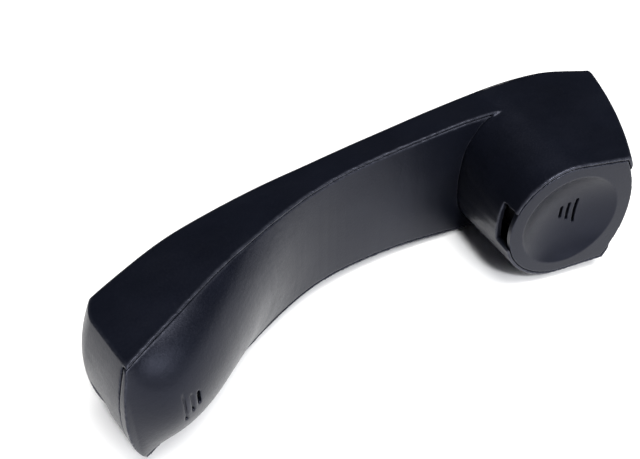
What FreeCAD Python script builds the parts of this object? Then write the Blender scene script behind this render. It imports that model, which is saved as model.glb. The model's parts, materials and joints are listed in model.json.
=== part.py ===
import FreeCAD, Part
import os
import Sketcher

# Desk-telephone handset lying on one flat side.
# Design frame: origin at the centre of the ear face, X along the handset from mouth to ear,
# Y from the front (speaking side) to the back, Z across the width, mid-plane at Z = 0.
# Every body is moved from there to the row frame by frame_x, frame_y, frame_z.

os.makedirs("parts", exist_ok=True)
doc = FreeCAD.newDocument("Handset")
App = FreeCAD
V3 = FreeCAD.Vector

# ---------------------------------------------------------------- driving dimensions
DIMS = [
    ("frame_x", 57.090), ("frame_y", -22.835), ("frame_z", 27.609),
    ("ear_tilt", 8.93),
    ("wall", 2.4), ("lip", 1.0), ("ledge", 2.4), ("gap", 0.2), ("cover_wall", 2.0),
    ("crown", 1.4), ("back_round", 3.0), ("end_bulge", 3.8), ("ear_bulge", 6.3),
    ("end_half", 17.5), ("ear_half", 22.6), ("tool_half", 30.0),
    # ear cup
    ("cup_r_face", 24.35), ("cup_flat_face", 0.5), ("cup_half_deep", 28.2), ("cup_round_deep", 18.1), ("cup_flat_deep", 24.2), ("cup_front_deep", 24.9), ("cup_depth", 62.0),
    ("cup_x_face", 0.0), ("cup_corner_face", 22.9), ("cup_corner_deep", 24.2),
    ("cup_end_face", 20.4), ("cup_end_deep", 44.0), ("cup_floor", 53.0),
    ("cup_reach", 34.0),
    # ear cap
    ("cap_thick", 2.4), ("dish_r", 19.0), ("dish_depth", 5.6), ("dish_x", 0.9),
    ("slot_width", 1.1), ("slot_x", 3.4), ("slot_pitch", 2.75), ("slot_a", 5.4), ("slot_b", 7.8), ("slot_c", 10.8),
    # hook notch in the cup's wall
    ("notch_low", -7.2), ("notch_high", 9.4), ("notch_top", 3.7), ("notch_deep", 11.0),
    # jack
    ("jack_y", 8.0), ("jack_z", -8.0), ("jack_w", 11.0), ("jack_t", 9.4), ("jack_len", 13.0), ("jack_front", -165.4),
    ("socket_w", 7.8), ("socket_t", 6.6), ("socket_deep", 10.6), ("jack_open_w", 11.3), ("jack_open_t", 9.7),
    # microphone
    ("mic_r", 4.85), ("mic_len", 6.2), ("boot_r", 6.35), ("well_r", 8.0),
    ("mic_x", -146.8), ("mic_y", -10.3), ("mic_tilt", 17.0), ("msl_pitch", 2.4), ("msl_a", 5.2), ("msl_b", 7.4), ("msl_c", 11.4), ("msl_x", -144.4),
    # receiver
    ("rec_r", 17.0), ("rec_x", 0.9), ("boss_x", 16.0), ("boss_y", 16.2), ("boss_r", 2.5), ("retainer_at", 17.5),
    # balance weight
    ("weight_len", 48.0), ("weight_w", 20.0), ("weight_t", 6.0), ("weight_x", -56.0), ("weight_y", 48.2), ("weight_tilt", 5.0), ("pad_t", 1.2), ("weight_hole", 19.0),
    ("lead_r", 0.55),
]
# cross-sections of the handle and mouthpiece along X:
# x, long-edge height (crease), front apex height, back height, half width
STATIONS = [
    (-174.0, -13.9, -16.0, 14.7, 17.7),
    (-163.0, -8.2, -10.8, 24.3, 19.8),
    (-152.0, -1.6, -12.1, 29.5, 21.0),
    (-140.0, 5.3, -7.1, 34.7, 22.0),
    (-127.0, 13.4, 3.1, 39.4, 22.2),
    (-112.0, 21.7, 16.5, 44.0, 21.8),
    (-95.0, 29.9, 28.8, 48.0, 21.6),
    (-78.0, 35.6, 35.4, 50.5, 21.9),
    (-62.0, 38.3, 37.9, 52.3, 22.7),
    (-46.0, 39.5, 39.0, 53.8, 23.5),
    (-30.0, 39.7, 39.2, 54.7, 24.8),
    (-14.0, 39.3, 38.9, 55.3, 26.0),
    (2.0, 38.8, 38.4, 56.2, 26.6),
]
# the back line beyond the handle, over the ear cup: x, back height, half width
BACK_END = [(16.0, 56.5, 26.6), (27.0, 56.0, 26.2), (37.0, 53.5, 25.7), (46.0, 50.4, 25.1), (58.0, 46.1, 24.3)]
for i, row in enumerate(STATIONS):
    for key, v in zip(("x", "crease", "apex", "back", "half"), row):
        DIMS.append(("st%d_%s" % (i, key), v))
for i, row in enumerate(BACK_END):
    for key, v in zip(("x", "back", "half"), row):
        DIMS.append(("be%d_%s" % (i, key), v))

spec = doc.addObject("Spreadsheet::Sheet", "Spec")
VAL = {}
for r, (alias, value) in enumerate(DIMS, start=1):
    spec.set("A%d" % r, alias)
    spec.set("B%d" % r, repr(value))
    spec.setAlias("B%d" % r, alias)
    VAL[alias] = value
doc.recompute()


class Size:
    """A length with both its number and its spreadsheet expression."""

    def __init__(self, value, text):
        self.value = float(value)
        self.text = text

    def __add__(self, o):
        o = size(o)
        return Size(self.value + o.value, "(%s + %s)" % (self.text, o.text))

    def __sub__(self, o):
        o = size(o)
        return Size(self.value - o.value, "(%s - %s)" % (self.text, o.text))

    def __mul__(self, o):
        o = size(o)
        return Size(self.value * o.value, "(%s * %s)" % (self.text, o.text))

    def __truediv__(self, o):
        o = size(o)
        return Size(self.value / o.value, "(%s / %s)" % (self.text, o.text))

    def __neg__(self):
        return Size(-self.value, "(-1 * %s)" % self.text)


def size(o):
    if isinstance(o, Size):
        return o
    if isinstance(o, str):
        return Size(VAL[o], "Spec." + o)
    return Size(o, repr(float(o)))


S = size


def place(obj, rotation=None, shift=(0, 0, 0)):
    """Move an object from the design frame to the row frame."""
    sx, sy, sz = [S(c) for c in shift]
    obj.Placement = App.Placement(
        V3(VAL["frame_x"] + sx.value, VAL["frame_y"] + sy.value, VAL["frame_z"] + sz.value),
        rotation or App.Rotation())
    for axis, s in (("x", sx), ("y", sy), ("z", sz)):
        obj.setExpression("Placement.Base." + axis, "Spec.frame_%s + %s" % (axis, s.text))


from math import sin, cos, radians, hypot, atan2, degrees, sqrt, pi
TILT = radians(VAL["ear_tilt"])
# ear frame: local X towards the ear end, local Y across the width, local Z out of the ear face
EAR = App.Rotation(V3(cos(TILT), -sin(TILT), 0), V3(0, 0, 1), V3(-sin(TILT), -cos(TILT), 0), "XYZ")


def body(label, rotation=None, shift=(0, 0, 0)):
    b = doc.addObject("PartDesign::Body", label)
    b.Label = label
    place(b, rotation, shift)
    return b


def plane(b, role):
    return next(f for f in b.Origin.OriginFeatures if f.Role == role)


def sketch(b, name, role="XY_Plane", offset=None):
    sk = doc.addObject("Sketcher::SketchObject", name)
    b.addObject(sk)
    sk.AttachmentSupport = [(plane(b, role), "")]
    sk.MapMode = "FlatFace"
    if offset is not None:
        base, rot = offset
        base = [S(c) for c in base]
        sk.AttachmentOffset = App.Placement(V3(*[c.value for c in base]), rot or App.Rotation())
        for axis, c in zip("xyz", base):
            if c.text != "0.0":
                sk.setExpression("AttachmentOffset.Base." + axis, c.text)
    return sk


def pin(sk, geo, pos, p):
    """Fix one sketch point by two driven distances from the origin."""
    for kind, c in (("DistanceX", S(p[0])), ("DistanceY", S(p[1]))):
        if c.text == "0.0":
            axis = -2 if kind == "DistanceX" else -1
            sk.addConstraint(Sketcher.Constraint("PointOnObject", geo, pos, axis))
        else:
            n = sk.addConstraint(Sketcher.Constraint(kind, -1, 1, geo, pos, c.value))
            if "Spec." in c.text:
                sk.setExpression("Constraints[%d]" % n, c.text)


def num(p):
    return V3(S(p[0]).value, S(p[1]).value, 0)


def turn_of(a, m, e):
    return (m.x - a.x) * (e.y - a.y) - (m.y - a.y) * (e.x - a.x)


def arc_through(a, m, e):
    d = 2.0 * (a.x * (m.y - e.y) + m.x * (e.y - a.y) + e.x * (a.y - m.y))
    a2, m2, e2 = a.x ** 2 + a.y ** 2, m.x ** 2 + m.y ** 2, e.x ** 2 + e.y ** 2
    c = V3((a2 * (m.y - e.y) + m2 * (e.y - a.y) + e2 * (a.y - m.y)) / d,
           (a2 * (e.x - m.x) + m2 * (a.x - e.x) + e2 * (m.x - a.x)) / d, 0)
    r = (a - c).Length
    t0, t1 = atan2(a.y - c.y, a.x - c.x), atan2(e.y - c.y, e.x - c.x)
    if turn_of(a, m, e) < 0:
        t0, t1 = t1, t0
    if t1 < t0:
        t1 += 2 * pi
    return Part.ArcOfCircle(Part.Circle(c, V3(0, 0, 1), r), t0, t1)


def outline(sk, start, path, close=True):
    """Closed outline: path items are ("L", end) or ("A", middle, end)."""
    geos, cur = [], start
    items = list(path)
    if close:
        items.append(("L", start))
    for k, it in enumerate(items):
        end = it[-1]
        if it[0] == "L":
            g = sk.addGeometry(Part.LineSegment(num(cur), num(end)), False)
        else:
            g = sk.addGeometry(arc_through(num(cur), num(it[1]), num(end)), False)
        geos.append((it, g, cur, end))
        cur = end
    n = len(geos)
    ends = []
    for it, g, a, z in geos:
        if it[0] == "A":
            # sketch arcs run anticlockwise, so a clockwise one starts at its far end
            ends.append((1, 2) if turn_of(num(a), num(it[1]), num(z)) > 0 else (2, 1))
        else:
            ends.append((1, 2))
    for k in range(n):
        j = (k + 1) % n
        sk.addConstraint(Sketcher.Constraint("Coincident", geos[k][1], ends[k][1], geos[j][1], ends[j][0]))
    for k in range(n):
        pin(sk, geos[k][1], ends[k][0], geos[k][2])
    for it, g, a, z in geos:
        if it[0] == "A":
            pt = sk.addGeometry(Part.Point(num(it[1])), True)
            pin(sk, pt, 1, it[1])
            sk.addConstraint(Sketcher.Constraint("PointOnObject", pt, 1, g))
    return sk


def circle(sk, centre, radius):
    r = S(radius)
    g = sk.addGeometry(Part.Circle(num(centre), V3(0, 0, 1), r.value), False)
    pin(sk, g, 3, centre)
    n = sk.addConstraint(Sketcher.Constraint("Radius", g, r.value))
    if "Spec." in r.text:
        sk.setExpression("Constraints[%d]" % n, r.text)
    return sk


def box(sk, x0, x1, y0, y1):
    return outline(sk, (x0, y0), [("L", (x1, y0)), ("L", (x1, y1)), ("L", (x0, y1))])


def loft(b, name, sections, cut=False, ruled=False):
    f = b.newObject("PartDesign::SubtractiveLoft" if cut else "PartDesign::AdditiveLoft", name)
    f.Profile = sections[0]
    f.Sections = [(s, [""]) for s in sections[1:]]
    f.Ruled = ruled
    for s in sections:
        s.Visibility = False
    doc.recompute()
    return f


def extrude(b, name, sk, length, cut=False, reverse=False, symmetric=False, through=False):
    f = b.newObject("PartDesign::Pocket" if cut else "PartDesign::Pad", name)
    f.Profile = sk
    if symmetric:
        f.SideType = "Symmetric"
    if through:
        f.Type = "ThroughAll"
    else:
        ln = S(length)
        f.Length = ln.value
        if "Spec." in ln.text:
            f.setExpression("Length", ln.text)
    f.Reversed = reverse
    sk.Visibility = False
    doc.recompute()
    return f


def turn(b, name, sk, axis="H_Axis", cut=False):
    f = b.newObject("PartDesign::Groove" if cut else "PartDesign::Revolution", name)
    f.Profile = sk
    f.ReferenceAxis = (sk, [axis])
    f.Angle = 360.0
    sk.Visibility = False
    doc.recompute()
    return f


def station(b, prefix, i, ring, offset_name=None):
    """One cross-section sketch of the handle: local x is Y, local y is Z."""
    sk = sketch(b, "%s%d" % (prefix, i), "YZ_Plane", ((0, 0, S("st%d_x" % i)), None))
    outline(sk, ring[0], ring[1])
    return sk


N = len(STATIONS)

# ---------------------------------------------------------------- back shell
shell = body("back_shell")

# handle and mouthpiece trough, from the long edges to beyond the back
secs = []
for i in range(N):
    c, w = S("st%d_crease" % i), S("st%d_half" % i)
    secs.append(station(shell, "trough_", i, ((c, w), [("L", (c, -w)), ("L", (S(66), -w)), ("L", (S(66), w))])))
loft(shell, "trough", secs)

# hollow between the side walls and the step that carries the front cover
secs = []
for i in range(N):
    if i == 0:
        continue
    c, w, bk = S("st%d_crease" % i), S("st%d_half" % i) - "wall", S("st%d_back" % i) - "wall"
    x = S("st%d_x" % i) if i > 1 else S("st1_x") + 1.2
    sk = sketch(shell, "hollow_%d" % i, "YZ_Plane", ((0, 0, x), None))
    secs.append(outline(sk, (c - 20, w), [("L", (c - 20, -w)), ("L", (bk, -w)), ("L", (bk, w))]))
loft(shell, "hollow", secs, cut=True)
secs = []
for i in range(N):
    c, w = S("st%d_crease" % i), S("st%d_half" % i) - "lip"
    sk = sketch(shell, "step_%d" % i, "YZ_Plane", ((0, 0, S("st%d_x" % i)), None))
    secs.append(outline(sk, (c - 20, w), [("L", (c - 20, -w)), ("L", (c + "ledge", -w)), ("L", (c + "ledge", w))]))
loft(shell, "step", secs, cut=True)

# ear cup: a U-shaped block standing square to the ear face
def cup_section(b, name, depth, deep, inset, corner, reach, bow=None):
    """Outline of the cup: very nearly a half circle at the ear face, squarer deep inside."""
    d, g = S(depth), S(inset)
    off = ((Size(d.value * sin(TILT), "%s * sin(Spec.ear_tilt)" % d.text), 0,
            Size(-d.value * cos(TILT), "-1 * %s * cos(Spec.ear_tilt)" % d.text)),
           App.Rotation(V3(0, 1, 0), -VAL["ear_tilt"]))
    sk = sketch(b, name, "XZ_Plane", off)
    if deep:
        r = S("cup_round_deep") - g
        x = S("cup_round_deep") - "cup_flat_deep"
        h = S("cup_half_deep") - "cup_round_deep"
        front = g - "cup_front_deep"
    else:
        h = S("cup_flat_face")
        r = S("cup_r_face") - h - g
        x = S("cup_x_face") - h
        front = g - "cup_r_face" - 0.04
    start, via, knee = (x, h + r), (x - r * 0.70711, h + r * 0.70711), (x - r, h)
    e, c = S(reach), S(corner) - g
    last = ("L", (e, c)) if bow is None else ("A", (e + bow, S(0)), (e, c))
    return outline(sk, start, [("A", via, knee), ("A", (front, S(0)), (knee[0], -knee[1])), ("A", (via[0], -via[1]), (start[0], -start[1])),
                               ("L", (e, -c)), last])


cup = [cup_section(shell, "cup_face", 0, False, 0.0, "cup_corner_face", 22.0),
       cup_section(shell, "cup_deep", "cup_depth", True, 0.0, "cup_corner_deep", 52.0)]
loft(shell, "cup", cup)
w = S("wall")
cup = [cup_section(shell, "cupin_face", 0, False, w, "cup_corner_face", S("cup_end_face") - 0.6, 3.6),
       cup_section(shell, "cupin_deep", "cup_floor", True, w + 0.4, "cup_corner_deep", S("cup_end_deep") - w - 4.0, 4.4)]
loft(shell, "cup_hollow", cup, cut=True)

# the crowned back, cut over the whole length
secs = []
keys = ["st%d_" % i for i in range(N)] + ["be%d_" % i for i in range(len(BACK_END))]
for i, key in enumerate(keys):
    bk, w, hw, r = S(key + "back"), S(key + "half"), S("tool_half"), S("back_round")
    low, side, top = bk - r * 1.2, w + r * 0.12, w - r * 1.1
    sk = sketch(shell, "back_%d" % i, "YZ_Plane", ((0, 0, S(key + "x")), None))
    secs.append(outline(sk, (low, hw), [("L", (low, side)), ("A", (bk - r * 0.34, w - r * 0.28), (bk, top)),
                                        ("A", (bk + "crown", S(0)), (bk, -top)), ("A", (bk - r * 0.34, -(w - r * 0.28)), (low, -side)),
                                        ("L", (low, -hw)), ("L", (S(90), -hw)), ("L", (S(90), hw))]))
loft(shell, "back_crown", secs, cut=True)

# the mouth end and the ear end, each bowed across the width
def end_tool(b, name, pts, sign, bulge, half):
    secs = []
    for k, zf in enumerate((-1.0, 0.0, 1.0)):
        z = S("tool_half") * zf
        sh = S(bulge) * sign if zf == 0 else S(bulge) * sign * (S(1) - (S("tool_half") / half) * (S("tool_half") / half))
        sk = sketch(b, "%s_%d" % (name, k), "XY_Plane", ((0, 0, z), None))
        q = [(S(px) + sh, S(py)) for px, py in pts]
        secs.append(q_outline(sk, q, name))
    return loft(b, name, secs, cut=True)


def q_outline(sk, q, name):
    # points: start, line to 1, arc via 2 to 3, then lines round the outside
    return outline(sk, q[0], [("L", q[1]), ("A", q[2], q[3])] + [("L", p) for p in q[4:]])


# the cup rim's step for the ear cap
def ear_plane(depth=0):
    d = S(depth)
    return ((Size(d.value * sin(TILT), "%s * sin(Spec.ear_tilt)" % d.text), 0,
             Size(-d.value * cos(TILT), "-1 * %s * cos(Spec.ear_tilt)" % d.text)),
            App.Rotation(V3(0, 1, 0), -VAL["ear_tilt"]))


def cap_outline(sk, inset):
    r, e = S("cup_r_face") - inset, S(inset)
    c = S("cup_corner_face") - inset * 1.05 if isinstance(inset, float) else S("cup_corner_face") - inset
    x = S("cup_end_face") - e
    return outline(sk, (S("cup_x_face"), r), [("A", (S("cup_x_face") - r, S(0)), (S("cup_x_face"), -r)),
                                              ("L", (x, -c)), ("A", (x + "ear_bulge", S(0)), (x, c))])


sk = sketch(shell, "rim_step", "XZ_Plane", ear_plane(-1.0))
cap_outline(sk, 1.0)
extrude(shell, "rim_step_cut", sk, S("cap_thick") + 1.0, cut=True)

# cradle and cheeks that hold the modular jack
sk = sketch(shell, "cradle", "XZ_Plane", ((0, 0, -(S("jack_y") + S("jack_t") / 2 + 0.1)), None))
box(sk, -159.0, -153.5, S("jack_z") - 6.0, S("jack_z") + 6.0)
extrude(shell, "jack_cradle", sk, 12.6, reverse=True)
for n, sg in (("a", 1), ("b", -1)):
    sk = sketch(shell, "cheek_" + n, "XZ_Plane", ((0, 0, -(S("jack_y") - 1.9)), None))
    z0 = S("jack_w") / 2 + 0.15
    if sg > 0:
        box(sk, -159.0, -153.5, S("jack_z") + z0, S("jack_z") + z0 + 1.5)
    else:
        box(sk, -159.0, -153.5, S("jack_z") - z0 - 1.5, S("jack_z") - z0)
    extrude(shell, "jack_cheek_" + n, sk, 19.0, reverse=True)

# screw boss for the front cover's tongue, inside the cup
sk = sketch(shell, "boss", "XZ_Plane", ((0, 0, -43.5), None))
circle(sk, (-6.5, 0), 3.0)
extrude(shell, "tongue_boss", sk, 12.1, reverse=True)

MOUTH_END = [(-160.3, -24.0), (-165.9, 14.0), (-163.4, 23.4), (-158.1, 28.8), (-140.0, 38.9), (-140.0, 62.0), (-190.0, 62.0), (-190.0, -24.0)]
end_tool(shell, "mouth_end", MOUTH_END, -1, "end_bulge", "end_half")
end_tool(shell, "ear_end", [(17.0, -8.0), (20.2, -3.1), (36.1, 20.3), (48.8, 46.0), (51.2, 62.0), (80.0, 62.0), (80.0, -8.0)], 1, "ear_bulge", "ear_half")


def side_cut(name, role, offset, shape, length, **kw):
    sk = sketch(shell, name + "_sk", role, ((0, 0, offset), None))
    shape(sk)
    return extrude(shell, name, sk, length, cut=True, **kw)


# opening for the modular jack through the mouth end wall
side_cut("jack_opening", "YZ_Plane", -150.0,
         lambda sk: box(sk, S("jack_y") - S("jack_open_t") / 2, S("jack_y") + S("jack_open_t") / 2,
                        S("jack_z") - S("jack_open_w") / 2, S("jack_z") + S("jack_open_w") / 2), 30.0)
# notch for a wall hook, in the cup's wall beside the ear face
side_cut("hook_notch", "YZ_Plane", -12.0,
         lambda sk: box(sk, S("notch_top"), S("notch_deep"), S("notch_low"), S("notch_high")), 20.0)
# slot for the cover's tongue and hole for the leads, through the cup's wall inside the handle
side_cut("tongue_slot", "YZ_Plane", -8.5, lambda sk: box(sk, 40.6, 43.7, -5.4, 5.4), 11.0)
side_cut("lead_hole", "YZ_Plane", -5.0, lambda sk: box(sk, 45.6, 52.2, 10.5, 17.0), 16.0)
# pilot holes
side_cut("tongue_pilot", "XZ_Plane", -42.4, lambda sk: circle(sk, (-6.5, 0), 1.1), 9.4)
for n, sg in (("a", -1), ("b", 1)):
    side_cut("weight_pilot_" + n, "XZ_Plane", -44.0,
             lambda sk: circle(sk, (S("weight_x") + S("weight_hole") * sg, 0), 1.7), 6.8 if sg < 0 else 10.1)


print("shell", shell.Shape.isValid(), len(shell.Shape.Solids), round(shell.Shape.Volume))

# ---------------------------------------------------------------- front cover
cover = body("front_cover")
secs = []
for i in range(N):
    c, a = S("st%d_crease" % i), S("st%d_apex" % i)
    w = S("st%d_half" % i) - "lip" - "gap"
    sk = sketch(cover, "crescent_%d" % i, "YZ_Plane", ((0, 0, S("st%d_x" % i)), None))
    t = S("cover_wall")
    secs.append(outline(sk, (c, w), [("A", (a, S(0)), (c, -w)), ("L", (c + t, -w)), ("A", (a + t, S(0)), (c + t, w))]))
loft(cover, "front_skin", secs)
# the closed end of the cover, down to the shell's end wall
secs = []
for i in (0, 1):
    c, a = S("st%d_crease" % i), S("st%d_apex" % i)
    w = S("st%d_half" % i) - "lip" - "gap"
    sk = sketch(cover, "end_block_%d" % i, "YZ_Plane", ((0, 0, S("st%d_x" % i) + (0 if i == 0 else 0.8)), None))
    secs.append(outline(sk, (c + 0.5, w), [("A", (a + 0.6, S(0)), (c + 0.5, -w)), ("L", (c + "ledge" - 0.35, -w)), ("L", (c + "ledge" - 0.35, w))]))
loft(cover, "end_block", secs)
end_tool(cover, "cover_end", MOUTH_END, -1, "end_bulge", "end_half")
grow = S("gap") + 0.05
cup = [cup_section(cover, "clear_face", 0, False, -grow, "cup_corner_face", 30.0),
       cup_section(cover, "clear_deep", "cup_depth", True, -grow, "cup_corner_deep", 56.0)]
loft(cover, "cup_clearance", cup, cut=True)
# tongue under the cup's wall
sk = sketch(cover, "tongue_sk", "XY_Plane", None)
box(sk, -30.0, -2.5, 40.9, 43.3)
extrude(cover, "tongue", sk, 10.0, symmetric=True)
sk = sketch(cover, "tongue_hole_sk", "XZ_Plane", ((0, 0, -48.0), None))
circle(sk, (-6.5, 0), 1.5)
extrude(cover, "tongue_hole", sk, 8.0, cut=True, reverse=True)
# well round the microphone
MT = radians(VAL["mic_tilt"])
MIC = App.Rotation(V3(cos(MT), sin(MT), 0), V3(0, 0, 1), V3(sin(MT), -cos(MT), 0), "XYZ")


def mic_plane(depth):
    d = S(depth)
    return ((S("mic_x") - Size(d.value * sin(MT), "%s * sin(Spec.mic_tilt)" % d.text), 0,
             -(S("mic_y") + Size(d.value * cos(MT), "%s * cos(Spec.mic_tilt)" % d.text))),
            App.Rotation(V3(0, 1, 0), VAL["mic_tilt"]))


sk = sketch(cover, "well_sk", "XZ_Plane", mic_plane(9.0))
circle(sk, (0, 0), "well_r")
circle(sk, (0, 0), S("boot_r") + 0.15)
extrude(cover, "well", sk, 7.1)


def slot(sk, x, half_l, half_w):
    x, l, w = S(x), S(half_l), S(half_w)
    return outline(sk, (x - w, l - w), [("A", (x, l), (x + w, l - w)), ("L", (x + w, -(l - w))), ("A", (x, -l), (x - w, -(l - w)))])


def mouth_slot(name, k, length, depth_from, depth_to):
    # x of the slot in the microphone frame
    u = (S("msl_x") - S("msl_pitch") * k - S("mic_x")) / cos(MT)
    sk = sketch(cover, name + "_sk", "XZ_Plane", mic_plane(depth_to))
    slot(sk, u, S(length) / 2, 0.65 if k == 0 else 0.45)
    return extrude(cover, name, sk, depth_to - depth_from, cut=True, reverse=True)


mouth_slot("mouth_slot_a", 0, "msl_a", -3.0, 4.0)
for n, k, ln in (("b", 1, "msl_b"), ("c", 2, "msl_c")):
    mouth_slot("mouth_slot_" + n, k, ln, -3.0, 0.45)
    u = (S("msl_x") - S("msl_pitch") * k - S("mic_x")) / cos(MT)
    sk = sketch(cover, "mouth_hole_%s_sk" % n, "XZ_Plane", mic_plane(4.0))
    circle(sk, (u, -(S(ln) / 2 - 0.8)), 0.5)
    extrude(cover, "mouth_hole_" + n, sk, 6.0, cut=True, reverse=True)
print("cover", cover.Shape.isValid(), len(cover.Shape.Solids), round(cover.Shape.Volume))

# ---------------------------------------------------------------- ear cap
cap = body("ear_cap", EAR)
sk = sketch(cap, "plate_sk")
cap_outline(sk, 1.2)
extrude(cap, "plate", sk, S("cap_thick") - 0.05, reverse=True)
dr, dd = S("dish_r"), S("dish_depth")
sk = sketch(cap, "bowl_sk", "XZ_Plane", (("dish_x", 0, 0), None))
outline(sk, (0, -(dd + 2)), [("A", ((dr + 1.6) / 2, -(dd * 0.766 + 2.05)), (dr + 1.6, S(-2.2))), ("L", (dr + 1.6, S(-1))), ("L", (S(0), S(-1)))])
turn(cap, "bowl", sk, "V_Axis")
sk = sketch(cap, "dish_sk", "XZ_Plane", (("dish_x", 0, 0), None))
outline(sk, (0, -dd), [("A", (dr / 2, -(dd * 0.766)), (dr, S(0))), ("L", (dr, S(3))), ("L", (S(0), S(3)))])
turn(cap, "dish", sk, "V_Axis", cut=True)
sk = sketch(cap, "slots_sk")
for k, ln in ((-1, "slot_a"), (0, "slot_b"), (1, "slot_c")):
    slot(sk, S("slot_x") + S("slot_pitch") * k, S(ln) / 2, S("slot_width") / 2)
extrude(cap, "slots", sk, 12.0, cut=True)
sk = sketch(cap, "bosses_sk", "XY_Plane", ((0, 0, -(S("cap_thick") - 0.6)), None))
for sg in (1, -1):
    circle(sk, ("boss_x", S("boss_y") * sg), "boss_r")
extrude(cap, "bosses", sk, S("retainer_at") - S("cap_thick") + 0.6, reverse=True)
sk = sketch(cap, "boss_holes_sk", "XY_Plane", ((0, 0, -S("retainer_at")), None))
for sg in (1, -1):
    circle(sk, ("boss_x", S("boss_y") * sg), 1.1)
extrude(cap, "boss_holes", sk, 9.0, cut=True, reverse=True)
sk = sketch(cap, "legs_sk", "XY_Plane", ((0, 0, -(S("cap_thick") - 0.6)), None))
for sg in (1, -1):
    y0, y1 = (19.6, 21.0) if sg > 0 else (-21.0, -19.6)
    box(sk, -4.0, 3.0, y0, y1)
extrude(cap, "legs", sk, 7.0, reverse=True)
print("cap", cap.Shape.isValid(), len(cap.Shape.Solids), round(cap.Shape.Volume))


# ---------------------------------------------------------------- turned parts
def turned(label, rings, rotation, shift=(0, 0, 0), axis_shift=None):
    """A part of revolution about its own local Z; rings are (r0, r1, z0, z1) joined in one profile or a polygon."""
    b = body(label, rotation, shift)
    sk = sketch(b, label + "_profile", "XZ_Plane")
    if isinstance(rings, tuple):
        r0, r1, z0, z1 = rings
        outline(sk, (r0, z0), [("L", (r1, z0)), ("L", (r1, z1)), ("L", (r0, z1))])
    else:
        outline(sk, rings[0], [("L", q) for q in rings[1:]])
    turn(b, label + "_turn", sk, "V_Axis")
    return b


def in_ear(u, v=0.0, z=0.0):
    u, v, z = S(u), S(v), S(z)
    st, ct = "sin(Spec.ear_tilt)", "cos(Spec.ear_tilt)"
    return (Size(u.value * cos(TILT) - z.value * sin(TILT), "(%s * %s - %s * %s)" % (u.text, ct, z.text, st)),
            Size(-u.value * sin(TILT) - z.value * cos(TILT), "(-1 * %s * %s - %s * %s)" % (u.text, st, z.text, ct)),
            v)


def in_mic(z=0.0):
    z = S(z)
    return (S("mic_x") + Size(z.value * sin(MT), "(%s * sin(Spec.mic_tilt))" % z.text),
            S("mic_y") - Size(z.value * cos(MT), "(%s * cos(Spec.mic_tilt))" % z.text), S(0))


REC = in_ear("rec_x")
turned("receiver_felt", (0, 6.0, -8.1, -7.7), EAR, REC)
turned("receiver_gasket", (12.6, 16.4, -8.3, -5.85), EAR, REC)
rr = S("rec_r")
grille = turned("receiver_grille", [(0, -8.9), (rr - 0.2, -8.9), (rr - 0.2, -8.35), (0, -8.35)], EAR, REC)
sk = sketch(grille, "grille_hole_sk")
circle(sk, (4.2, 0), 0.8)
circle(sk, (8.4, 0), 0.8)
hole = extrude(grille, "grille_hole", sk, 12.0, cut=True)
ring = grille.newObject("PartDesign::PolarPattern", "grille_holes")
ring.Originals = [hole]
ring.Axis = (sk, ["N_Axis"])
ring.Angle = 360.0
ring.Occurrences = 8
grille.Tip = ring
doc.recompute()
turned("receiver_basket", [(0, -17.45), (rr, -17.45), (rr, -8.95), (rr - 1.2, -8.95), (rr - 1.2, -16.45), (0, -16.45)], EAR, REC)
turned("receiver_pot", [(0, -16.4), (8.6, -16.4), (8.6, -11.9), (5.8, -11.9), (5.8, -13.1), (7.2, -13.1), (7.2, -15.4), (0, -15.4)], EAR, REC)
turned("receiver_magnet", (0, 4.0, -15.35, -12.75), EAR, REC)
turned("receiver_pole_tip", (0, 4.2, -12.7, -11.9), EAR, REC)
turned("receiver_diaphragm", [(0, -9.75), (2.2, -9.85), (4.0, -10.2), (5.3, -10.75), (7.0, -10.45), (10.0, -10.6), (13.2, -10.3), (15.3, -10.5),
                              (15.3, -10.75), (13.2, -10.55), (10.0, -10.85), (7.0, -10.7), (5.3, -11.0), (4.6, -11.0), (3.9, -10.45), (2.2, -10.1), (0, -10.0)], EAR, REC)
turned("receiver_voice_coil", (4.75, 5.25, -13.2, -11.05), EAR, REC)

board = body("receiver_board", EAR, REC)
sk = sketch(board, "board_sk", "XY_Plane", ((0, 0, -18.5), None))
box(sk, -7.0, 7.0, -4.0, 4.0)
extrude(board, "board_plate", sk, 1.0)
sk = sketch(board, "board_holes_sk", "XY_Plane", ((0, 0, -17.0), None))
for x, y in ((-5.2, 0), (5.2, 2.4), (5.2, -2.4)):
    circle(sk, (x, y), 0.5)
extrude(board, "board_holes", sk, 3.0, cut=True)

varistor = body("receiver_varistor", EAR, REC)
sk = sketch(varistor, "varistor_sk", "YZ_Plane", ((0, 0, -3.2), None))
circle(sk, (0, -23.0), 3.2)
extrude(varistor, "varistor_disc", sk, 2.0)
sk = sketch(varistor, "varistor_legs_sk", "XY_Plane", ((0, 0, -18.55), None))
for y in (-1.6, 1.6):
    circle(sk, (-2.2, y), 0.3)
extrude(varistor, "varistor_legs", sk, 3.0, reverse=True)

retainer = body("receiver_retainer", EAR)
sk = sketch(retainer, "retainer_sk", "XY_Plane", ((0, 0, -19.1), None))
circle(sk, ("rec_x", 0), rr + 0.4)
circle(sk, ("rec_x", 0), 11.0)
extrude(retainer, "retainer_ring", sk, 1.6)
for n, sg in (("a", 1), ("b", -1)):
    sk = sketch(retainer, "ear_%s_sk" % n, "XY_Plane", ((0, 0, -19.1), None))
    outline(sk, (8.5, 12.6 * sg), [("L", (13.2, 18.2 * sg)), ("L", (16.6, 18.9 * sg)), ("L", (18.6, 16.6 * sg)), ("L", (18.2, 13.4 * sg)), ("L", (12.6, 8.5 * sg))])
    extrude(retainer, "retainer_ear_" + n, sk, 1.6)
sk = sketch(retainer, "retainer_holes_sk", "XY_Plane", ((0, 0, -16.0), None))
for sg in (1, -1):
    circle(sk, ("boss_x", S("boss_y") * sg), 1.35)
extrude(retainer, "retainer_holes", sk, 5.0, cut=True)


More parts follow.
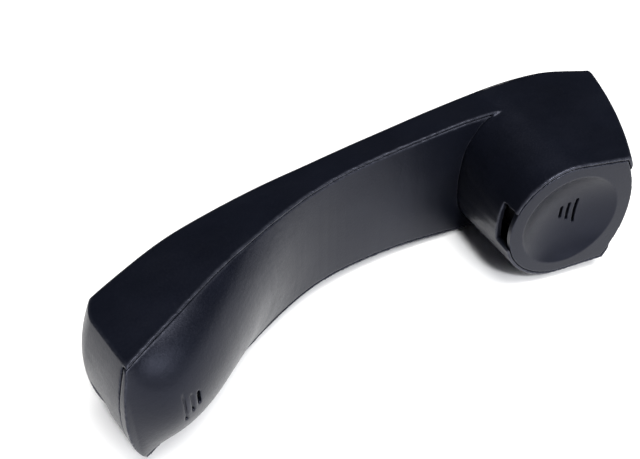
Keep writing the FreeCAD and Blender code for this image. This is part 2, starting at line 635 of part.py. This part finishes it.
def screw_pair(label, rotation, shift, points, head_z, head_r, head_t, shank_r, shank_l, drive=0.9):
    b = body(label, rotation, shift)
    sk = sketch(b, label + "_head_sk", "XY_Plane", ((0, 0, head_z), None))
    for x, y in points:
        circle(sk, (x, y), head_r)
    extrude(b, label + "_heads", sk, head_t, reverse=True)
    sk = sketch(b, label + "_shank_sk", "XY_Plane", ((0, 0, S(head_z) - 0.2), None))
    for x, y in points:
        circle(sk, (x, y), shank_r)
    extrude(b, label + "_shanks", sk, S(shank_l) + 0.2)
    sk = sketch(b, label + "_drive_sk", "XY_Plane", ((0, 0, S(head_z) - head_t), None))
    for x, y in points:
        w, l = S(0.3), S(drive)
        x, y = S(x), S(y)
        outline(sk, (x - w, y + l), [("L", (x + w, y + l)), ("L", (x + w, y + w)), ("L", (x + l, y + w)), ("L", (x + l, y - w)),
                                     ("L", (x + w, y - w)), ("L", (x + w, y - l)), ("L", (x - w, y - l)), ("L", (x - w, y - w)),
                                     ("L", (x - l, y - w)), ("L", (x - l, y + w)), ("L", (x - w, y + w))])
    extrude(b, label + "_drives", sk, 0.8, cut=True, reverse=True)
    return b


screw_pair("retainer_screws", EAR, (0, 0, 0), [("boss_x", S("boss_y")), ("boss_x", -S("boss_y"))], -19.15, 2.2, 1.5, 1.0, 9.0)
# row Y grows towards the back, so a screw driven from the front has its local Z along +Y
DOWN = App.Rotation(V3(1, 0, 0), V3(0, 0, -1), V3(0, 1, 0), "XYZ")
screw_pair("cover_screw", DOWN, (-6.5, 40.85, 0), [(0, 0)], 0.0, 2.6, 1.7, 1.0, 8.5)

# ---------------------------------------------------------------- balance weight
WT = VAL["weight_tilt"]
BAR = App.Rotation(V3(0, 0, 1), WT).multiply(DOWN)
wl, ww, wt = S("weight_len"), S("weight_w"), S("weight_t")
weight = body("balance_weight", BAR, ("weight_x", "weight_y", 0))
sk = sketch(weight, "bar_sk")
box(sk, -(wl / 2), wl / 2, -(ww / 2), ww / 2)
extrude(weight, "bar", sk, wt, reverse=True)
sk = sketch(weight, "bar_holes_sk")
for sg in (1, -1):
    circle(sk, (S("weight_hole") * sg, 0), 1.5)
extrude(weight, "bar_holes", sk, 8.0, cut=True)
pad = body("weight_pad", BAR, ("weight_x", "weight_y", 0))
sk = sketch(pad, "pad_sk", "XY_Plane", ((0, 0, 0.02), None))
box(sk, -(wl / 2 - 1), wl / 2 - 1, -(ww / 2 - 1), ww / 2 - 1)
extrude(pad, "pad_sheet", sk, "pad_t")
sk = sketch(pad, "pad_holes_sk", "XY_Plane", ((0, 0, 3.0), None))
for sg in (1, -1):
    circle(sk, (S("weight_hole") * sg, 0), 1.8)
extrude(pad, "pad_holes", sk, 5.0, cut=True)
screw_pair("weight_screws", BAR, ("weight_x", "weight_y", 0), [("weight_hole", 0), (-S("weight_hole"), 0)], -(wt + 0.02), 2.6, 1.4, 1.2, wt + 3.6)

# ---------------------------------------------------------------- microphone
turned("microphone_felt", (0, 4.4, -3.2, -2.8), MIC, in_mic())
turned("microphone_boot", [(2.6, -10.3), ("boot_r", -10.3), ("boot_r", -3.4), (S("mic_r") + 0.05, -3.4), (S("mic_r") + 0.05, -9.3), (2.6, -9.3)], MIC, in_mic())
mic = turned("microphone_capsule", [(0, -9.25), ("mic_r", -9.25), ("mic_r", -3.45), (2.0, -3.45), (2.0, -3.9), (0, -3.9)], MIC, in_mic())
sk = sketch(mic, "pins_sk", "XY_Plane", ((0, 0, -9.0), None))
for x in (-1.27, 1.27):
    circle(sk, (0, x), 0.3)
extrude(mic, "pins", sk, 2.0, reverse=True)

# ---------------------------------------------------------------- modular jack
jack = body("jack_housing")
jw, jt = S("jack_w") / 2, S("jack_t") / 2
sk = sketch(jack, "jack_sk", "YZ_Plane", ((0, 0, "jack_front"), None))
box(sk, S("jack_y") - jt, S("jack_y") + jt, S("jack_z") - jw, S("jack_z") + jw)
extrude(jack, "jack_block", sk, "jack_len")
sk = sketch(jack, "socket_sk", "YZ_Plane", ((0, 0, "jack_front"), None))
box(sk, S("jack_y") - S("socket_t") / 2, S("jack_y") + S("socket_t") / 2, S("jack_z") - S("socket_w") / 2, S("jack_z") + S("socket_w") / 2)
extrude(jack, "socket", sk, "socket_deep", cut=True, reverse=True)
sk = sketch(jack, "latch_sk", "YZ_Plane", ((0, 0, "jack_front"), None))
box(sk, S("jack_y") + S("socket_t") / 2 - 0.1, S("jack_y") + jt + 0.2, S("jack_z") - 1.7, S("jack_z") + 1.7)
extrude(jack, "latch_slot", sk, 5.5, cut=True, reverse=True)

contacts = body("jack_contacts")
for k in range(4):
    z = S("jack_z") + (k - 1.5) * 1.27
    y = S("jack_y")
    sk = sketch(contacts, "contact_%d_sk" % k, "XY_Plane", ((0, 0, z - 0.2), None))
    outline(sk, (-155.3, y - 2.55), [("L", (-156.4, y - 2.55)), ("L", (-161.9, y - 1.15)), ("L", (-163.2, y - 1.95)), ("L", (-163.0, y - 2.25)),
                                     ("L", (-161.9, y - 1.55)), ("L", (-156.3, y - 2.95)), ("L", (-155.3, y - 2.95))])
    extrude(contacts, "contact_%d" % k, sk, 0.4)


# ---------------------------------------------------------------- leads
def lead(label, points):
    """A round insulated wire along a smooth curve through the points of its route, as short straight lengths between rings."""
    curve = Part.BSplineCurve()
    curve.interpolate([V3(*p) for p in points])
    rings, r, a = [], VAL["lead_r"], V3(0, 0.7, 0.7)
    count = 3 * (len(points) - 1)
    for k in range(count + 1):
        u = curve.FirstParameter + (curve.LastParameter - curve.FirstParameter) * k / count
        at, along = curve.value(u), V3(*curve.tangent(u)[0])
        a = (a - along * a.dot(along)).normalize()
        b = along.cross(a).normalize()
        rings.append(Part.Wire([Part.Arc(at + a * r, at + b * r, at - a * r).toShape(), Part.Arc(at - a * r, at - b * r, at + a * r).toShape()]))
    o = doc.addObject("Part::Feature", label)
    o.Label = label
    o.Shape = Part.makeLoft(rings, True, True)
    place(o)
    return o


lead("receiver_lead_a", [(-151.9, 10.8, -4.6), (-148.0, 12.4, -2.0), (-139.0, 17.8, 7.5), (-126.0, 28.3, 13.6), (-110.0, 36.6, 15.0), (-92.0, 42.4, 14.6),
                         (-72.0, 46.4, 14.2), (-50.0, 49.0, 13.9), (-30.0, 50.0, 14.2), (-15.0, 48.8, 14.6), (-4.0, 44.2, 13.2), (3.0, 35.0, 8.0), (6.4, 26.0, 3.8), (8.3, 19.4, 2.4)])
lead("receiver_lead_b", [(-151.9, 10.8, -6.8), (-147.0, 13.2, -4.4), (-137.5, 19.5, 5.2), (-125.0, 29.8, 11.8), (-110.0, 37.6, 13.2), (-92.0, 43.2, 12.8),
                         (-72.0, 47.2, 12.6), (-50.0, 49.7, 12.4), (-30.0, 50.7, 12.2), (-16.0, 50.0, 12.2), (-8.0, 47.9, 11.2), (-1.0, 44.2, 8.0), (5.2, 36.0, 1.5), (7.4, 26.5, -2.2), (8.3, 19.4, -2.4)])
lead("microphone_lead_a", [(-151.9, 8.4, -7.6), (-148.4, 8.8, -6.6), (-145.6, 7.4, -2.6), (-145.8, 4.2, 0.6), (-147.6, 2.0, 1.3), (-149.3, 1.0, 1.27)])
lead("microphone_lead_b", [(-151.9, 8.4, -10.0), (-148.0, 8.2, -9.6), (-145.4, 6.0, -6.6), (-146.2, 3.2, -3.2), (-147.9, 1.7, -1.7), (-149.3, 1.0, -1.27)])

# ---------------------------------------------------------------- export
NODES = [o for o in doc.Objects if o.TypeId == "PartDesign::Body" or o.Label.startswith(("receiver_lead", "microphone_lead"))]
doc.recompute()
for o in doc.Objects:
    if any(k in ("Invalid", "Error") for k in o.State):
        raise RuntimeError("%s: %s" % (o.Name, o.getStatusString()))
for o in NODES:
    if o.Shape.isNull() or not o.Shape.isValid():
        raise RuntimeError("bad shape: " + o.Label)
    print(o.Label, len(o.Shape.Solids), round(o.Shape.Volume, 1))
    o.Shape.exportStep("parts/%s.step" % o.Label)
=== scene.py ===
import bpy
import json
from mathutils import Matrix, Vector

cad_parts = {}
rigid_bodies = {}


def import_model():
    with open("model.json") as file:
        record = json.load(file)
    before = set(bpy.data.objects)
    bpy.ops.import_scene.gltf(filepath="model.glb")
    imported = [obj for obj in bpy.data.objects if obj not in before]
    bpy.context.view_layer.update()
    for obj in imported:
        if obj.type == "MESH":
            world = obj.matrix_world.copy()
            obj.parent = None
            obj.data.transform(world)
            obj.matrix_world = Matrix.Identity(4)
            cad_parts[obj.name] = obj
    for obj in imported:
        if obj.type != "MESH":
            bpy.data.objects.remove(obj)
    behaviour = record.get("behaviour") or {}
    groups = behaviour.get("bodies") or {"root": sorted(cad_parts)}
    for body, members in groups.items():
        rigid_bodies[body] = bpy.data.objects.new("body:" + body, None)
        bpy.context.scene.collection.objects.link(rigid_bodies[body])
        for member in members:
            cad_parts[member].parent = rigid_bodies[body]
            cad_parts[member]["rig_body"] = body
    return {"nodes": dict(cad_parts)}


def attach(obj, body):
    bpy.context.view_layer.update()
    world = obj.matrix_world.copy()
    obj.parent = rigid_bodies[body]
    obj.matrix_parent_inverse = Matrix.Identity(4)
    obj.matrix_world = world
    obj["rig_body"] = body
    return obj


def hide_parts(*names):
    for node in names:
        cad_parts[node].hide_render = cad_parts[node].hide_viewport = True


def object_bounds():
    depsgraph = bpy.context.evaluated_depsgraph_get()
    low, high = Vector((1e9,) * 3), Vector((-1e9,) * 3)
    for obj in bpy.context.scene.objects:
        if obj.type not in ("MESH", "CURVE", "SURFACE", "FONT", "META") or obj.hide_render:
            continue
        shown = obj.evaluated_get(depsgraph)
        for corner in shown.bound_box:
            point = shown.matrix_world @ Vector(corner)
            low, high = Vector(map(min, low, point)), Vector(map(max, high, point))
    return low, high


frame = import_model()
cad_low, cad_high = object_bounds()

import bpy, bmesh, json, math
import numpy as np
from mathutils import Vector, Matrix, kdtree

scene = bpy.context.scene
MM = 0.001


# ---------------------------------------------------------------- materials
class Nodes:
    """Short calls for building one material's node tree."""

    def __init__(self, name):
        self.m = bpy.data.materials.new(name)
        self.m.use_nodes = True
        self.t = self.m.node_tree
        self.t.nodes.clear()
        self.out = self.add("ShaderNodeOutputMaterial")
        self.b = self.add("ShaderNodeBsdfPrincipled")
        self.t.links.new(self.b.outputs["BSDF"], self.out.inputs["Surface"])
        self.co = self.add("ShaderNodeTexCoord").outputs["Object"]

    def add(self, kind, **props):
        n = self.t.nodes.new(kind)
        for k, v in props.items():
            setattr(n, k, v)
        return n

    def link(self, a, b):
        self.t.links.new(a, b)

    def mapped(self, scale=(1, 1, 1), turn=(0, 0, 0), shift=(0, 0, 0)):
        n = self.add("ShaderNodeMapping")
        n.inputs["Scale"].default_value = scale
        n.inputs["Rotation"].default_value = turn
        n.inputs["Location"].default_value = shift
        self.link(self.co, n.inputs["Vector"])
        return n.outputs["Vector"]

    def noise(self, scale, detail=2.0, rough=0.5, vec=None, distort=0.0):
        n = self.add("ShaderNodeTexNoise")
        n.inputs["Scale"].default_value = scale
        n.inputs["Detail"].default_value = detail
        n.inputs["Roughness"].default_value = rough
        n.inputs["Distortion"].default_value = distort
        self.link(vec if vec is not None else self.co, n.inputs["Vector"])
        return n.outputs["Fac"]

    def cells(self, scale, vec=None, feature="F1", out="Distance", randomness=1.0):
        n = self.add("ShaderNodeTexVoronoi", feature=feature)
        n.inputs["Scale"].default_value = scale
        n.inputs["Randomness"].default_value = randomness
        self.link(vec if vec is not None else self.co, n.inputs["Vector"])
        return n.outputs[out]

    def wave(self, scale, vec=None, distort=0.0, bands="X", kind="BANDS"):
        n = self.add("ShaderNodeTexWave", wave_type=kind)
        if kind == "BANDS":
            n.bands_direction = bands
        else:
            n.rings_direction = bands
        n.inputs["Scale"].default_value = scale
        n.inputs["Distortion"].default_value = distort
        self.link(vec if vec is not None else self.co, n.inputs["Vector"])
        return n.outputs["Fac"]

    def ramp(self, fac, stops, smooth=False):
        n = self.add("ShaderNodeValToRGB")
        e = n.color_ramp.elements
        while len(e) > 1:
            e.remove(e[-1])
        for i, (p, c) in enumerate(stops):
            c = (c, c, c, 1) if isinstance(c, (int, float)) else (*c, 1)
            el = e[0] if i == 0 else e.new(p)
            el.position, el.color = p, c
        if smooth:
            n.color_ramp.interpolation = "EASE"
        self.link(fac, n.inputs["Fac"])
        return n.outputs["Color"]

    def span(self, fac, a, b, lo=0.0, hi=1.0):
        n = self.add("ShaderNodeMapRange")
        for k, v in (("From Min", lo), ("From Max", hi), ("To Min", a), ("To Max", b)):
            n.inputs[k].default_value = v
        self.link(fac, n.inputs["Value"])
        return n.outputs["Result"]

    def math(self, op, a, b=0.0, clamp=False):
        n = self.add("ShaderNodeMath", operation=op, use_clamp=clamp)
        for i, v in enumerate((a, b)):
            if isinstance(v, (int, float)):
                n.inputs[i].default_value = v
            else:
                self.link(v, n.inputs[i])
        return n.outputs[0]

    def mix(self, fac, a, b):
        n = self.add("ShaderNodeMix", data_type="RGBA")
        for i, v in ((0, fac), (6, a), (7, b)):
            if isinstance(v, tuple):
                n.inputs[i].default_value = (*v, 1)
            elif isinstance(v, (int, float)):
                n.inputs[i].default_value = v
            else:
                self.link(v, n.inputs[i])
        return n.outputs[2]

    def attribute(self, name):
        return self.add("ShaderNodeAttribute", attribute_name=name).outputs["Fac"]

    def bump(self, height, distance, strength=1.0, below=None):
        n = self.add("ShaderNodeBump")
        n.inputs["Strength"].default_value = strength
        n.inputs["Distance"].default_value = distance
        self.link(height, n.inputs["Height"])
        if below is not None:
            self.link(below, n.inputs["Normal"])
        return n.outputs["Normal"]

    def set(self, **kw):
        names = {"base": "Base Color", "rough": "Roughness", "metal": "Metallic", "normal": "Normal",
                 "spec": "Specular IOR Level", "coat": "Coat Weight", "coat_rough": "Coat Roughness",
                 "sheen": "Sheen Weight", "sheen_rough": "Sheen Roughness", "ior": "IOR",
                 "aniso": "Anisotropic", "sub": "Subsurface Weight", "trans": "Transmission Weight"}
        for k, v in kw.items():
            s = self.b.inputs[names[k]]
            if isinstance(v, (int, float)):
                s.default_value = v
            elif isinstance(v, tuple):
                s.default_value = (*v, 1)
            else:
                self.link(v, s)
        return self.m


def black_plastic(name, tint=1.0, grain=1.0, add_edge_polish_and_sheen=True):
    """Spark-textured black moulding: fine grain, faint cloudiness, polished along the edges, where the colour is also
    lightened as a painted highlight.
    """
    n = Nodes(name)
    cloud = n.noise(34, 3, 0.55)
    speck = n.noise(3400, 1.5, 0.6)
    base = n.mix(n.span(cloud, 0, 1, 0.3, 0.7), (0.0019 * tint, 0.0024 * tint, 0.0046 * tint), (0.0034 * tint, 0.0042 * tint, 0.0078 * tint))
    base = n.mix(n.span(speck, 0, 0.5, 0.45, 0.8), base, (0.0065 * tint, 0.0075 * tint, 0.012 * tint))
    smear = n.noise(55, 4, 0.6, n.mapped((1.0, 1.9, 1.5), (0.3, 0.2, 0.5)))
    rough = n.span(smear, 0.32, 0.41, 0.3, 0.72)
    rough = n.math("ADD", rough, n.span(n.noise(1500, 2, 0.5), -0.035, 0.035, 0.3, 0.7))
    if add_edge_polish_and_sheen:
        edge = n.attribute("edge_polish_and_sheen")
        patch = n.span(n.noise(420, 3, 0.65), 0, 1, 0.38, 0.62)
        # painted highlight: convex edges are mixed toward a lighter grey, standing in for crease highlights; the lower
        # roughness there is handling polish
        tone_mask = n.math("MULTIPLY", edge, n.math("ADD", 0.35, n.math("MULTIPLY", patch, 0.65)), clamp=True)
        base = n.mix(n.math("MULTIPLY", tone_mask, 0.75), base, (0.030, 0.032, 0.042))
        rough = n.math("SUBTRACT", rough, n.math("MULTIPLY", tone_mask, 0.10))
    pits = n.cells(1500, feature="SMOOTH_F1")
    height = n.math("ADD", n.math("MULTIPLY", n.noise(2100, 2.5, 0.55), 0.7), n.math("MULTIPLY", pits, 0.5))
    normal = n.bump(height, 0.00007 * grain, 0.55)
    scratch = n.noise(260, 3, 0.7, n.mapped((0.25, 3.2, 2.6), (0.2, 0.5, 0.9)))
    normal = n.bump(n.span(scratch, 0, 1, 0.62, 0.7), 0.000012, 0.35, normal)
    n.b.inputs["Specular Tint"].default_value = (0.76, 0.79, 1.0, 1)
    return n.set(base=base, rough=rough, normal=normal, spec=0.27)


def steel(name, dark=(0.30, 0.29, 0.27), light=(0.50, 0.49, 0.46), rough=(0.24, 0.42), along=(1, 1, 14), spots=(0.16, 0.14, 0.12)):
    n = Nodes(name)
    brush = n.noise(700, 4, 0.6, n.mapped(along))
    base = n.mix(n.span(brush, 0, 1, 0.3, 0.7), dark, light)
    stain = n.ramp(n.noise(210, 4, 0.6), [(0.0, 0.0), (0.56, 0.0), (0.75, 0.55), (1.0, 0.7)])
    base = n.mix(stain, base, spots)
    r = n.math("ADD", n.span(brush, rough[0], rough[1], 0.25, 0.75), n.math("MULTIPLY", stain, 0.25))
    return n.set(base=base, rough=r, metal=1.0, normal=n.bump(brush, 0.00002, 0.5))


def moulded(name, low, high, rough=(0.35, 0.5), grain=1300, depth=0.00003, **kw):
    n = Nodes(name)
    base = n.mix(n.span(n.noise(90, 4, 0.6), 0, 1, 0.3, 0.7), low, high)
    fine = n.noise(grain, 3, 0.6)
    r = n.math("ADD", n.span(n.noise(160, 3, 0.5), rough[0], rough[1], 0.3, 0.7), n.span(fine, -0.03, 0.03, 0.3, 0.7))
    return n.set(base=base, rough=r, normal=n.bump(fine, depth, 0.6), **kw)


M = {}
M["shell_black"] = black_plastic("black_moulding")

n = Nodes("felt_black")
fibre = n.noise(2600, 5, 0.7, n.mapped((1, 0.35, 1), (0.5, 0.3, 0.2)), 1.5)
M["felt_black"] = n.set(base=n.mix(n.span(fibre, 0, 1, 0.3, 0.7), (0.008, 0.008, 0.009), (0.045, 0.044, 0.045)),
                        rough=n.span(fibre, 0.85, 1.0), normal=n.bump(fibre, 0.00018, 0.9), sheen=0.35, sheen_rough=0.5)

n = Nodes("foam_grey")
pore = n.cells(1700, feature="F1")
M["foam_grey"] = n.set(base=n.mix(n.span(pore, 0, 1, 0.15, 0.6), (0.030, 0.031, 0.034), (0.16, 0.16, 0.17)),
                       rough=n.span(n.noise(500, 3), 0.82, 0.97), normal=n.bump(pore, 0.00025, 0.8))

M["grille_steel"] = steel("grille_steel", (0.36, 0.36, 0.37), (0.56, 0.56, 0.57), (0.28, 0.45), (1, 9, 1))
M["screw_steel"] = steel("screw_zinc", (0.50, 0.47, 0.38), (0.66, 0.64, 0.56), (0.20, 0.36), (6, 6, 6), (0.30, 0.24, 0.13))
M["pot_steel"] = steel("pot_plated", (0.42, 0.42, 0.43), (0.60, 0.60, 0.61), (0.18, 0.34), (2, 12, 2))
M["weight_steel"] = steel("weight_bare", (0.20, 0.19, 0.18), (0.36, 0.35, 0.33), (0.38, 0.58), (11, 1, 1), (0.15, 0.075, 0.035))
M["magnet_ferrite"] = moulded("magnet_ferrite", (0.012, 0.012, 0.013), (0.040, 0.039, 0.040), (0.55, 0.75), 2400, 0.00008)
M["basket_plastic"] = moulded("basket_abs", (0.014, 0.015, 0.018), (0.028, 0.029, 0.034), (0.36, 0.5))
M["retainer_plastic"] = moulded("retainer_nylon", (0.36, 0.34, 0.29), (0.50, 0.48, 0.42), (0.38, 0.52), 900, 0.00004, sub=0.05)
M["boot_rubber"] = moulded("boot_rubber", (0.010, 0.010, 0.010), (0.024, 0.023, 0.023), (0.62, 0.8), 1800, 0.00006)

n = Nodes("coil_copper")
turns = n.wave(1100, n.mapped((0.1552, 0.9879, 0)), 0.2)
M["coil_copper"] = n.set(base=n.mix(turns, (0.30, 0.09, 0.03), (0.78, 0.34, 0.14)), metal=1.0,
                         rough=n.span(n.noise(900, 3), 0.22, 0.42), normal=n.bump(turns, 0.00006, 0.9), coat=0.4, coat_rough=0.15)

n = Nodes("diaphragm_film")
haze = n.noise(260, 4, 0.6)
M["diaphragm_film"] = n.set(base=n.mix(n.span(haze, 0, 1, 0.3, 0.7), (0.34, 0.30, 0.20), (0.50, 0.45, 0.31)),
                            rough=n.span(haze, 0.18, 0.36, 0.3, 0.7), normal=n.bump(n.noise(1300, 3), 0.00002, 0.4), coat=0.5, coat_rough=0.12)

n = Nodes("board_resin")
weave = n.math("MULTIPLY", n.wave(900, n.mapped((1, 0, 0.2))), n.wave(900, n.mapped((0.2, 0, 1))))
M["board_resin"] = n.set(base=n.mix(n.span(n.math("ADD", weave, n.noise(140, 4)), 0, 1, 0.3, 1.3), (0.006, 0.055, 0.018), (0.020, 0.125, 0.045)),
                         rough=n.span(n.noise(300, 3), 0.24, 0.4), normal=n.bump(weave, 0.00003, 0.5), coat=0.6, coat_rough=0.2)

n = Nodes("varistor_blue")
lump = n.noise(420, 4, 0.6)
M["varistor_blue"] = n.set(base=n.mix(n.span(lump, 0, 1, 0.3, 0.7), (0.012, 0.055, 0.21), (0.030, 0.11, 0.33)),
                           rough=n.span(lump, 0.2, 0.4, 0.3, 0.7), normal=n.bump(lump, 0.00012, 0.6), coat=0.5, coat_rough=0.1)

n = Nodes("capsule_aluminium")
spun = n.wave(700, n.mapped((1, 1, 1)), 0.4, "Z", "RINGS")
M["capsule_aluminium"] = n.set(base=n.mix(spun, (0.62, 0.62, 0.63), (0.78, 0.78, 0.79)), metal=1.0,
                               rough=n.span(n.noise(600, 3), 0.22, 0.38), normal=n.bump(spun, 0.00001, 0.5))

n = Nodes("jack_plastic")
M["jack_plastic"] = n.set(base=n.mix(n.span(n.noise(160, 4), 0, 1, 0.3, 0.7), (0.008, 0.008, 0.009), (0.020, 0.020, 0.023)),
                          rough=n.span(n.noise(240, 3), 0.26, 0.42, 0.3, 0.7), normal=n.bump(n.noise(1600, 3), 0.00002, 0.5))

n = Nodes("contact_gold")
tone_mask = n.noise(900, 3, 0.6, n.mapped((1, 8, 8)))
M["contact_gold"] = n.set(base=n.mix(n.span(tone_mask, 0, 1, 0.3, 0.7), (0.62, 0.40, 0.13), (0.90, 0.66, 0.28)), metal=1.0,
                          rough=n.span(tone_mask, 0.14, 0.32), normal=n.bump(tone_mask, 0.00001, 0.5))

for slot_name, low, high in (("wire_green", (0.010, 0.10, 0.022), (0.022, 0.17, 0.045)), ("wire_white", (0.46, 0.45, 0.42), (0.62, 0.61, 0.57)),
                             ("wire_red", (0.22, 0.012, 0.010), (0.36, 0.024, 0.018)), ("wire_black", (0.008, 0.008, 0.008), (0.022, 0.022, 0.022))):
    M[slot_name] = moulded(slot_name + "_pvc", low, high, (0.28, 0.42), 1600, 0.00002)

for name, o in frame["nodes"].items():
    for s in o.material_slots:
        key = s.material.name.split(".")[0]
        if key in M:
            s.material = M[key]
    for p in o.data.polygons:
        p.use_smooth = True


# ---------------------------------------------------------------- softened mouldings
def weld(mesh, dist=2e-6):
    bm = bmesh.new()
    bm.from_mesh(mesh)
    bmesh.ops.remove_doubles(bm, verts=bm.verts, dist=dist)
    bm.to_mesh(mesh)
    bm.free()


def applied(obj):
    dg = bpy.context.evaluated_depsgraph_get()
    me = bpy.data.meshes.new_from_object(obj.evaluated_get(dg), depsgraph=dg)
    obj.modifiers.clear()
    obj.data = me
    return me


def points(mesh):
    co = np.empty(len(mesh.vertices) * 3, np.float64)
    mesh.vertices.foreach_get("co", co)
    return co.reshape(-1, 3)


def vertex_normals(mesh):
    no = np.empty(len(mesh.vertices) * 3, np.float32)
    mesh.vertex_normals.foreach_get("vector", no)
    return no.reshape(-1, 3).astype(np.float64)


def edges_of(mesh):
    e = np.empty(len(mesh.edges) * 2, np.int32)
    mesh.edges.foreach_get("vertices", e)
    return e.reshape(-1, 2)


def averaged(e, count, n, v):
    s = np.empty_like(v)
    for k in range(v.shape[1]):
        s[:, k] = np.bincount(e[:, 0], v[e[:, 1], k], n) + np.bincount(e[:, 1], v[e[:, 0], k], n)
    return s / count[:, None]


def soften(node, voxel, rounds, faces, extra=None):
    """A moulded copy of a CAD node: every edge gets the small radius that a mould leaves."""
    src = frame["nodes"][node]
    me = src.data.copy()
    o = bpy.data.objects.new(node + "_moulding", me)
    scene.collection.objects.link(o)
    weld(me)
    m = o.modifiers.new("remesh", "REMESH")
    m.mode, m.voxel_size, m.adaptivity = "VOXEL", voxel, 0.0
    me = applied(o)
    e, v = edges_of(me), points(me)
    nv = len(v)
    count = (np.bincount(e[:, 0], minlength=nv) + np.bincount(e[:, 1], minlength=nv)).astype(float)
    for _ in range(rounds):
        v += 0.5 * (averaged(e, count, nv, v) - v)
    if extra is not None:
        w, more = extra(v)
        for _ in range(more):
            v += (0.5 * w)[:, None] * (averaged(e, count, nv, v) - v)
    me.vertices.foreach_set("co", v.astype(np.float32).ravel())
    me.update()
    no = vertex_normals(me)
    # convex edges: lower roughness for the polish that handling gives them, and a lighter colour that is a painted
    # highlight
    wide, nn = v.copy(), no.copy()
    for _ in range(6):
        wide = averaged(e, count, nv, wide)
    edge = np.einsum("ij,ij->i", v - wide, no) / voxel
    for _ in range(3):
        edge = 0.5 * edge + 0.5 * averaged(e, count, nv, edge[:, None])[:, 0]
    edge = np.clip((edge - 0.10) / 0.34, 0, 1)
    # lighter mesh with the fine mesh's normals
    total = sum(len(p.vertices) - 2 for p in me.polygons)
    if total > faces:
        m = o.modifiers.new("thin", "DECIMATE")
        m.ratio = faces / total
        me = applied(o)
    tree = kdtree.KDTree(nv)
    for i, c in enumerate(v):
        tree.insert(c, i)
    tree.balance()
    lo = points(me)
    near = np.array([tree.find(c)[1] for c in lo])
    # stores the convex-edge mask that the shader uses for edge polish and for a painted edge highlight
    a = me.attributes.new("edge_polish_and_sheen", "FLOAT", "POINT")
    a.data.foreach_set("value", edge[near].astype(np.float32))
    me.polygons.foreach_set("use_smooth", np.ones(len(me.polygons), bool))
    me.normals_split_custom_set_from_vertices([tuple(x) for x in no[near]])
    me.materials.clear()
    me.materials.append(M["shell_black"])
    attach(o, src["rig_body"])
    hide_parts(node)
    print(node, "faces", len(me.polygons), "from", total)
    return o


soften("back_shell", 0.36 * MM, 4, 190000)
soften("front_cover", 0.32 * MM, 4, 150000)
soften("ear_cap", 0.22 * MM, 4, 150000)


# ---------------------------------------------------------------- floor, light, camera
n = Nodes("floor_pale")
n.set(base=n.mix(n.span(n.noise(9, 3), 0, 1, 0.3, 0.7), (0.93, 0.93, 0.93), (0.95, 0.95, 0.95)), rough=n.span(n.noise(30, 3), 0.75, 0.9), spec=0.2)
bm = bmesh.new()
bmesh.ops.create_grid(bm, x_segments=8, y_segments=8, size=2.2)
bmesh.ops.translate(bm, verts=bm.verts, vec=(0, 0, cad_low.z - 0.0001))
me = bpy.data.meshes.new("floor")
bm.to_mesh(me)
bm.free()
floor = bpy.data.objects.new("floor", me)
floor.data.materials.append(n.m)
scene.collection.objects.link(floor)


def panel(name, at, aim, size, power, colour=(1, 1, 1)):
    d = bpy.data.lights.new(name, "AREA")
    d.shape, d.size, d.size_y, d.energy, d.color = "RECTANGLE", size[0], size[1], power, colour
    o = bpy.data.objects.new(name, d)
    o.location = at
    o.rotation_mode = "QUATERNION"
    o.rotation_quaternion = (Vector(at) - Vector(aim)).to_track_quat("Z", "Y")
    scene.collection.objects.link(o)
    return o


panel("overhead", (0.20, -0.60, 2.3), (0, 0, 0.02), (1.7, 1.4), 78, (1.0, 0.99, 0.97))
panel("spark", (-0.20, -0.80, 0.95), (0, 0, 0.02), (0.14, 0.14), 9.0, (0.97, 0.98, 1.0))
panel("front", (0.30, -1.15, 0.75), (0, 0, 0.02), (0.9, 0.5), 9, (0.94, 0.96, 1.0))
panel("left_low", (-0.95, -0.02, 0.24), (-0.1, 0, 0.02), (0.4, 0.3), 0.7, (1.0, 0.86, 0.82))
world = bpy.data.worlds.new("studio")
world.use_nodes = True
world.node_tree.nodes["Background"].inputs["Color"].default_value = (0.010, 0.0105, 0.012, 1)
world.node_tree.nodes["Background"].inputs["Strength"].default_value = 1.0
scene.world = world
scene.view_settings.view_transform = "Standard"
scene.view_settings.look = "None"

cam = bpy.data.cameras.new("camera")
cam.lens, cam.sensor_width, cam.clip_start, cam.clip_end = 45.0, 36.0, 0.01, 20
eye = bpy.data.objects.new("camera", cam)
scene.collection.objects.link(eye)
eye.location = (-0.126075, -0.173361, 0.207681)
right, up, back = Vector((0.8767, -0.4810, 0)), Vector((0.3081, 0.5616, 0.7678)), -Vector((0.3693, 0.6731, -0.6406))
eye.rotation_mode = "QUATERNION"
eye.rotation_quaternion = Matrix((right, up, back)).transposed().to_quaternion()
scene.camera = eye
